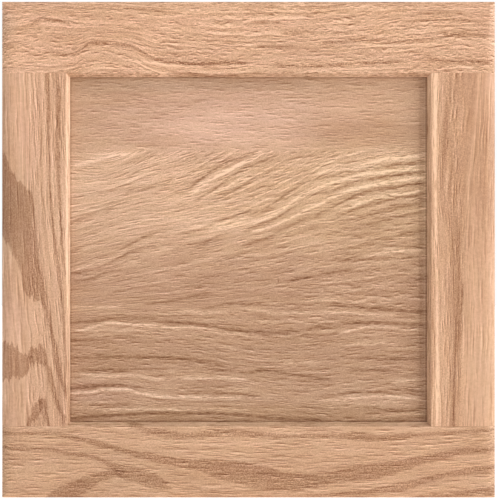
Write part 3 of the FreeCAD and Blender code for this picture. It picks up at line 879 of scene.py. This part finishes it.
def wood(name, figure, upright, base, grain, hues, colours,
         bevel=0, arris=None, strength=1.0, blotches=None, rim=False):
    """One board's oak. The grain of an upright board runs up, that of any other sideways.

    base is its level, and bevel how many levels paler its sloping edge is: painted light and shade for how
    that edge faces the light. arris is the place across it of a pale line painted along the arris as a
    highlight, and how pale that is. strength says how strong its grain is, as a number or as points of
    (across, number). rim is for the panel, whose shaded edges are greyer.
    """
    oak = bpy.context.scene.oak
    material = bpy.data.materials.new(name)
    material.use_nodes = True
    made = Tree(material.node_tree)
    shader = material.node_tree.nodes["Principled BSDF"]
    place = made.group(shared("door_millimetres", door_millimetres))
    along, across, depth = place["Sideways"], place["Upward"], place["Depth"]
    ends, slope = place["Faces Side"], place["Faces Up"]
    if upright:
        along, across, ends, slope = across, along, slope, ends
    spot = (along, across, depth)
    shape = made.group(figure, Along=along, Across=across, Depth=depth)
    inputs = dict(grain, Speckle=made.multiply(shape["Tone"], -grain["Speckle"]))
    for key in STREAKS:
        amount = made.by_place(across, grain[key], *STREAK_RANGE)
        inputs[key] = made.multiply(amount, levels(oak.contrast))
    inputs.update(Along=along, Across=across, Depth=depth, Growth=shape["Growth"])
    streaks = made.group(shared("oak_grain", oak_grain), **inputs)
    edge = made.step(slope, 0.5, 0.8)
    tones = [
        shape["Tone"],
        made.multiply(streaks["Tone"], made.by_place(across, strength, *STRENGTH_RANGE)),
        levels(base - DARKEST),
        made.step(ends, 0.7, 0.95, 0.0, levels(END_GRAIN)),
        # painted light and shade on the sloping edge, for how it faces the light
        made.multiply(edge, levels(bevel)),
    ]
    if blotches:
        blotch = made.noise(spot, (2.6, 3.4, 4), shift=71.0, detail=1.0)
        amount = made.multiply(made.by_place(across, blotches, *STREAK_RANGE), levels(1.0))
        tones.append(made.multiply(blotch, amount))
    # A pale line painted along the arris: a painted highlight where the rounded edge catches the light
    if arris:
        middle, pale = arris
        off = made.math("ABSOLUTE", made.subtract(across, middle))
        tones.append(made.step(off, 1.0, 0.2, 0.0, levels(pale)))
    pink = wandering_hue(made, spot, *hues["pinker"], shift=51.0)
    grey = wandering_hue(made, spot, *hues["greyer"], shift=61.0)
    grey.append(made.multiply(edge, BEVEL_GREY))
    if rim:
        grey.append(made.multiply(edge_shade(made, along, across), RIM_GREY))
    colour = made.group(colours, Tone=made.total(tones), Pink=made.total(pink), Grey=made.total(grey))
    made.put(shader.inputs["Base Color"], colour["Color"])
    finish_shader(made, shader, oak, streaks)
    return material


def frame_wood(name, figure, upright, base, grain, hues, **rest):
    """The oak of a rail or a stile: all four share their colours."""
    oak = bpy.context.scene.oak
    colours = shared("frame_oak_colour", oak_colour, oak.pores, oak.pale)
    return wood(name, figure, upright, base, grain, hues, colours, **rest)


WELD_GAP = 1e-6
FLAT_ANGLE, ARRIS_ANGLE = math.radians(0.5), math.radians(28)


def soften(node, radius):
    """Rounds the arrises of a board a little, as sanding does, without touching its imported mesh."""
    weld = node.modifiers.new("weld", "WELD")
    weld.merge_threshold = WELD_GAP
    flat = node.modifiers.new("whole_faces", "DECIMATE")
    flat.decimate_type = "DISSOLVE"
    flat.angle_limit = FLAT_ANGLE
    arris = node.modifiers.new("arrises", "BEVEL")
    arris.width = radius
    arris.segments = 3
    arris.limit_method = "ANGLE"
    arris.angle_limit = ARRIS_ANGLE
    arris.harden_normals = False


def dress(name, material):
    """Gives a board its wood and its soft arrises."""
    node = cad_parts[name]
    node.data.materials.clear()
    node.data.materials.append(material)
    soften(node, bpy.context.scene.oak.arris)


# Settings


class OakSettings(bpy.types.PropertyGroup):
    """The wood and its finish"""

    pores: bpy.props.FloatVectorProperty(
        name="Pores", description="Colour of the darkest pores, as display levels",
        subtype="COLOR_GAMMA", size=3, min=0, max=1, default=(0.46, 0.265, 0.14),
    )
    pale: bpy.props.FloatVectorProperty(
        name="Pale wood", description="Colour of the palest wood, as display levels",
        subtype="COLOR_GAMMA", size=3, min=0, max=1, default=(1.0, 0.825, 0.69),
    )
    contrast: bpy.props.FloatProperty(
        name="Contrast", description="Strength of the streaks and pores",
        subtype="FACTOR", min=0, max=2, default=1.0,
    )
    roughness: bpy.props.FloatProperty(
        name="Roughness", description="Roughness of the bare wood",
        subtype="FACTOR", min=0, max=1, default=0.5,
    )
    lacquer: bpy.props.FloatProperty(
        name="Lacquer", description="Weight of the clear satin lacquer",
        subtype="FACTOR", min=0, max=1, default=0.15,
    )
    lacquer_roughness: bpy.props.FloatProperty(
        name="Lacquer roughness", description="Roughness of the lacquer",
        subtype="FACTOR", min=0, max=1, default=0.35,
    )
    arris: bpy.props.FloatProperty(
        name="Arris", description="How far each sharp edge is sanded back",
        subtype="DISTANCE", unit="LENGTH", min=0, max=0.001, default=0.0003,
    )


class StudioSettings(bpy.types.PropertyGroup):
    """The camera and the light"""

    lens: bpy.props.FloatProperty(
        name="Lens", description="Focal length in mm, for a 36 mm sensor", min=20, max=400, default=150,
    )
    aim_height: bpy.props.FloatProperty(
        name="Aim height", description="Height of the camera above the floor",
        subtype="DISTANCE", unit="LENGTH", default=0.2092,
    )
    key: bpy.props.FloatProperty(
        name="Key", description="Strength of the soft light from the right", min=0, max=10, default=2.15,
    )
    key_softness: bpy.props.FloatProperty(
        name="Key softness", description="Angle that the key light covers",
        subtype="ANGLE", unit="ROTATION", min=0, max=math.pi, default=math.radians(40),
    )
    surroundings: bpy.props.FloatProperty(
        name="Surroundings", description="Strength of the even light from all sides",
        min=0, max=2, default=0.54,
    )


# Studio

PHOTO_HEIGHT = 0.42265  # metres that the photo's long side covers at the door's outer edge
FRONT_EDGE = 0.0028  # how far behind the front faces the rounded outer edge ends
SENSOR = 36.0  # mm
FLOOR_SIZE = 12.0  # metres
FLOOR_GREY = 0.85
FLOOR_GLOW, FLOOR_BOUNCE = 0.65, 0.35  # how the floor shines for the camera, and for the door
# Light of the surroundings from the front and the sides, and how much more from the right and above
TENT_FRONT, TENT_SIDES, TENT_TURN, TENT_RISE = 0.34, 1.85, 1.15, -0.4
KEY_FROM = Vector((0.845, -0.53, 0.07))
BACK_FILL_FROM, BACK_FILL = Vector((-0.6, 0.8, 0.0)), 1.4


def sun(name, towards, strength, angle):
    """A lamp that shines from that direction, with its light as soft as the angle says."""
    data = bpy.data.lights.new(name, "SUN")
    data.energy, data.angle = strength, angle
    lamp = bpy.data.objects.new(name, data)
    lamp.rotation_mode = "QUATERNION"
    lamp.rotation_quaternion = (-towards).to_track_quat("-Z", "Y")
    bpy.context.scene.collection.objects.link(lamp)


def seen_directly(made):
    """1 for what the camera sees, straight or through a reflection or glass."""
    path = made.node("ShaderNodeLightPath")
    either = made.math("MAXIMUM", path.outputs["Is Camera Ray"], path.outputs["Is Glossy Ray"])
    return made.math("MAXIMUM", either, path.outputs["Is Transmission Ray"])


def white_world(strength):
    """Plain white for the camera, and for the door a tent of light that is strongest at the right."""
    world = bpy.data.worlds.new("white_studio")
    bpy.context.scene.world = world
    world.use_nodes = True
    made = Tree(world.node_tree)
    ground = world.node_tree.nodes["Background"]
    ground.inputs["Color"].default_value = (1.0, 1.0, 1.0, 1.0)
    way = made.node("ShaderNodeSeparateXYZ")
    made.put(way.inputs[0], made.node("ShaderNodeTexCoord").outputs["Generated"])
    aside = made.math("POWER", made.subtract(1.0, made.math("POWER", way.outputs[1], 2.0)), 2.0)
    right = made.scaled(way.outputs[0], TENT_TURN, TENT_SIDES)
    sides = made.multiply(aside, made.add(right, made.multiply(way.outputs[2], TENT_RISE)))
    tent = made.multiply(made.add(sides, TENT_FRONT), strength)
    direct = seen_directly(made)
    made.put(ground.inputs["Strength"], made.add(direct, made.multiply(made.subtract(1.0, direct), tent)))


def white_floor():
    """A wide pale floor at the foot of the door."""
    bpy.ops.mesh.primitive_plane_add(size=FLOOR_SIZE, location=(0.0, 0.0, DOOR_LOW[2]))
    floor = bpy.context.object
    floor.name = "floor"
    material = bpy.data.materials.new("pale_floor")
    material.use_nodes = True
    made = Tree(material.node_tree)
    shader = material.node_tree.nodes["Principled BSDF"]
    shader.inputs["Base Color"].default_value = (FLOOR_GREY, FLOOR_GREY, FLOOR_GREY, 1.0)
    shader.inputs["Roughness"].default_value = 1.0
    shader.inputs["Specular IOR Level"].default_value = 0.0
    shader.inputs["Emission Color"].default_value = (1.0, 1.0, 1.0, 1.0)
    glow = made.scaled(seen_directly(made), FLOOR_GLOW - FLOOR_BOUNCE, FLOOR_BOUNCE)
    made.put(shader.inputs["Emission Strength"], glow)
    floor.data.materials.append(material)


def straight_camera(lens, height):
    """Looks straight at the door from where the photo's frame covers it as in the photo."""
    data = bpy.data.cameras.new("camera")
    data.lens = lens
    data.sensor_width = SENSOR
    camera = bpy.data.objects.new("camera", data)
    distance = PHOTO_HEIGHT * lens / SENSOR
    camera.location = (0.0, DOOR_LOW[1] + FRONT_EDGE - distance, height)
    camera.rotation_euler = (math.radians(90), 0.0, 0.0)
    data.clip_start, data.clip_end = 0.01, 100.0
    bpy.context.scene.collection.objects.link(camera)
    bpy.context.scene.camera = camera


# Operators


class DOOR_OT_dress_top_rail(bpy.types.Operator):
    """Gives the top rail its flat-sawn oak with one wavy growth line"""

    bl_idname = "door.dress_top_rail"
    bl_label = "Dress the top rail"

    def execute(self, context):
        bands = [(TOP_BANDS["main hump"], 1.6, 1.6, -14)]
        figure = board_figure(
            "top_rail_figure", TOP_FLOW, bands, TOP_PATCHES, slant=0.5, fingers=2.0, lines=TOP_LINES,
        )
        material = frame_wood("top_rail_oak", figure, False, 174, TOP_GRAIN, TOP_HUES, bevel=-8)
        dress("top_rail", material)
        return {"FINISHED"}


class DOOR_OT_dress_bottom_rail(bpy.types.Operator):
    """Gives the bottom rail its broad dark sweeps"""

    bl_idname = "door.dress_bottom_rail"
    bl_label = "Dress the bottom rail"

    def execute(self, context):
        bands = [(points, 2.2, 1.6, -28) for points in BOTTOM_BANDS.values()]
        figure = board_figure(
            "bottom_rail_figure", BOTTOM_FLOW, bands, BOTTOM_PATCHES, slant=-0.45, fingers=5.0,
        )
        material = frame_wood(
            "bottom_rail_oak", figure, False, 167, BOTTOM_GRAIN, BOTTOM_HUES, bevel=4, arris=(59.4, 8),
        )
        dress("bottom_rail", material)
        return {"FINISHED"}


class DOOR_OT_dress_left_stile(bpy.types.Operator):
    """Gives the left stile its arches, one above the other"""

    bl_idname = "door.dress_left_stile"
    bl_label = "Dress the left stile"

    def execute(self, context):
        bands = [(points, 2.4, 1.6, -35) for points in LEFT_BANDS.values()]
        patches = LEFT_PATCHES + LEFT_EDGES
        figure = board_figure("left_stile_figure", LEFT_FLOW, bands, patches, slant=0.5, fingers=8.0)
        material = frame_wood(
            "left_stile_oak", figure, True, 173, LEFT_GRAIN, LEFT_HUES,
            bevel=10, arris=(55.1, 16), blotches=LEFT_BLOTCHES,
        )
        dress("left_stile", material)
        return {"FINISHED"}


class DOOR_OT_dress_right_stile(bpy.types.Operator):
    """Gives the right stile its straight, quiet grain"""

    bl_idname = "door.dress_right_stile"
    bl_label = "Dress the right stile"

    def execute(self, context):
        bands = [(RIGHT_BANDS["broad"], 4.0, 3.0, -15), (RIGHT_BANDS["dark streak"], 2.0, 2.0, -12)]
        figure = board_figure(
            "right_stile_figure", RIGHT_FLOW, bands, RIGHT_PATCHES, slant=-0.3, fingers=8.0, lines=RIGHT_LINES,
        )
        material = frame_wood(
            "right_stile_oak", figure, True, 172, RIGHT_GRAIN, RIGHT_HUES, bevel=-2, blotches=RIGHT_BLOTCHES,
        )
        dress("right_stile", material)
        return {"FINISHED"}


class DOOR_OT_dress_panel(bpy.types.Operator):
    """Gives the panel its two leaves: quiet above the seam, sweeping below it"""

    bl_idname = "door.dress_panel"
    bl_label = "Dress the panel"

    def execute(self, context):
        oak = context.scene.oak
        dark = [level + more for level, more in zip(oak.pores, PANEL_PORES)]
        light = [level + more for level, more in zip(oak.pale, PANEL_PALE)]
        material = wood(
            "panel_oak", panel_figure(), False, 169, PANEL_GRAIN, PANEL_HUES,
            oak_colour("panel_oak_colour", dark, light), strength=PANEL_STRENGTH, rim=True,
        )
        dress("centre_panel", material)
        return {"FINISHED"}


class DOOR_OT_set_stage(bpy.types.Operator):
    """Sets the white floor and surroundings, the soft key light and the camera"""

    bl_idname = "door.set_stage"
    bl_label = "Set the stage"

    def execute(self, context):
        studio = context.scene.studio
        white_world(studio.surroundings)
        white_floor()
        sun("key", KEY_FROM, studio.key, studio.key_softness)
        sun("back_fill", BACK_FILL_FROM, BACK_FILL, studio.key_softness)
        straight_camera(studio.lens, studio.aim_height)
        context.scene.view_settings.view_transform = "Standard"
        return {"FINISHED"}


class DOOR_PT_sidebar(bpy.types.Panel):
    """Lists the door's steps and settings"""

    bl_label = "Oak door"
    bl_idname = "DOOR_PT_sidebar"
    bl_space_type = "VIEW_3D"
    bl_region_type = "UI"
    bl_category = "Door"

    def draw(self, context):
        for step in STEPS:
            self.layout.operator(step.bl_idname)
        for settings in (context.scene.oak, context.scene.studio):
            box = self.layout.box()
            for name in settings.__annotations__:
                box.prop(settings, name)


STEPS = (
    DOOR_OT_dress_top_rail,
    DOOR_OT_dress_bottom_rail,
    DOOR_OT_dress_left_stile,
    DOOR_OT_dress_right_stile,
    DOOR_OT_dress_panel,
    DOOR_OT_set_stage,
)
CLASSES = (OakSettings, StudioSettings, *STEPS, DOOR_PT_sidebar)


def register():
    for item in CLASSES:
        bpy.utils.register_class(item)
    bpy.types.Scene.oak = bpy.props.PointerProperty(type=OakSettings)
    bpy.types.Scene.studio = bpy.props.PointerProperty(type=StudioSettings)


def unregister():
    del bpy.types.Scene.studio
    del bpy.types.Scene.oak
    for item in reversed(CLASSES):
        bpy.utils.unregister_class(item)


def main():
    register()
    for step in STEPS:
        group, name = step.bl_idname.split(".")
        getattr(getattr(bpy.ops, group), name)()


if __name__ == "__main__":
    main()
